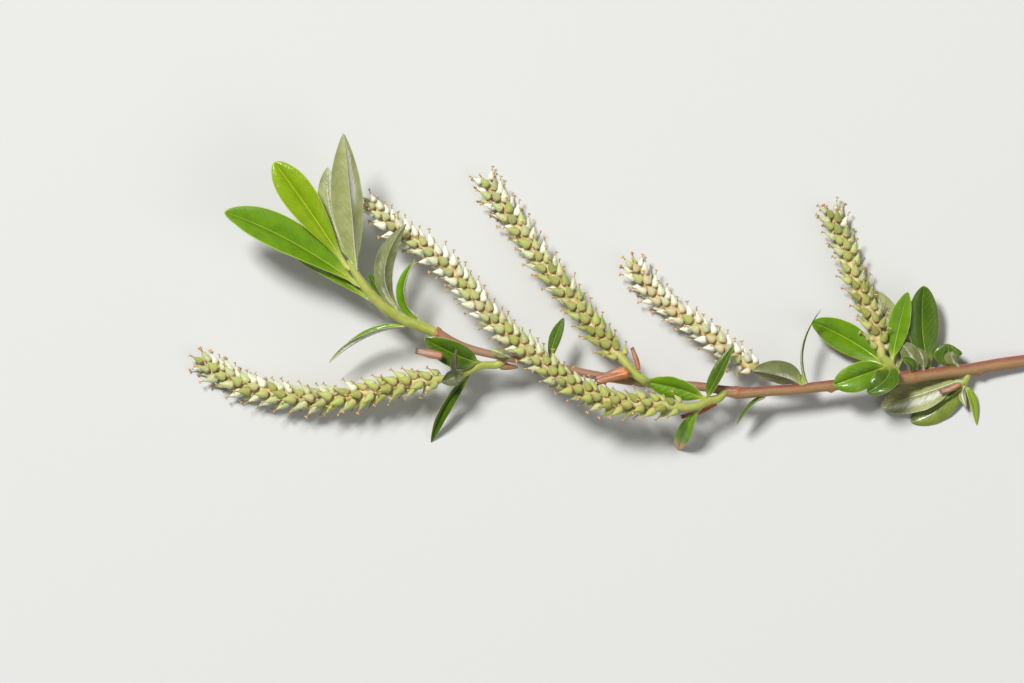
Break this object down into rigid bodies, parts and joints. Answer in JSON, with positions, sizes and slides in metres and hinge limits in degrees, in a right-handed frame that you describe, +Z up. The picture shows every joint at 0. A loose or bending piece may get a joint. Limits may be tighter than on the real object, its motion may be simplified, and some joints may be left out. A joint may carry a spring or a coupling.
{
  "type": "willow branch",
  "caption": "Cut willow branch in flower: a brown twig with short side shoots, slender upright seed catkins, glossy leaves silvery beneath, and papery bud scales.",
  "frame": {"origin": "centre of the lowest plane of the branch's box, on the surface it lies on", "axes": "+X along the twig towards its cut end, +Y across the twig on the catkins' side, +Z up from the surface it lies on"},
  "size_m": [0.1506, 0.0568, 0.0162],
  "materials": {
    "bark": "satin",
    "green_stem": "satin",
    "leaf_green": "glossy above, silky matte beneath",
    "catkin_green": "matte, downy",
    "scale_brown": "satin"
  },
  "bodies": {
    "root": {"main_twig": "bark", "tip_shoot": "green_stem", "spur_a": "bark", "stalk_a": "green_stem", "stalk_b": "green_stem", "stalk_c": "green_stem", "stalk_d": "green_stem", "stalk_e": "green_stem", "stalk_f": "green_stem", "catkin_a": "catkin_green", "catkin_b": "catkin_green", "catkin_c": "catkin_green", "catkin_d": "catkin_green", "catkin_e": "catkin_green", "bud_scale_1": "scale_brown", "bud_scale_2": "scale_brown", "bud_scale_3": "scale_brown", "bud_scale_4": "scale_brown", "bud_scale_5": "scale_brown", "leaf_tip_1": "leaf_green", "leaf_tip_2": "leaf_green", "leaf_tip_3": "leaf_green", "leaf_tip_4": "leaf_green", "leaf_tip_5": "leaf_green", "leaf_tip_6": "leaf_green", "leaf_tip_7": "leaf_green", "leaf_tip_8": "leaf_green", "leaf_tip_9": "leaf_green", "leaf_a_1": "leaf_green", "leaf_a_2": "leaf_green", "leaf_a_3": "leaf_green", "leaf_a_4": "leaf_green", "leaf_b_1": "leaf_green", "leaf_b_2": "leaf_green", "leaf_b_3": "leaf_green", "leaf_m_1": "leaf_green", "leaf_m_2": "leaf_green", "leaf_d_1": "leaf_green", "leaf_d_2": "leaf_green", "leaf_d_3": "leaf_green", "leaf_e_1": "leaf_green", "leaf_e_2": "leaf_green", "leaf_e_3": "leaf_green", "leaf_e_4": "leaf_green", "leaf_e_5": "leaf_green", "leaf_e_6": "leaf_green", "leaf_e_7": "leaf_green", "leaf_e_8": "leaf_green", "leaf_e_9": "leaf_green", "leaf_e_10": "leaf_green", "leaf_e_11": "leaf_green", "leaf_f_1": "leaf_green", "leaf_f_2": "leaf_green", "leaf_f_3": "leaf_green", "leaf_f_4": "leaf_green", "leaf_f_5": "leaf_green"}
  },
  "joints": []
}
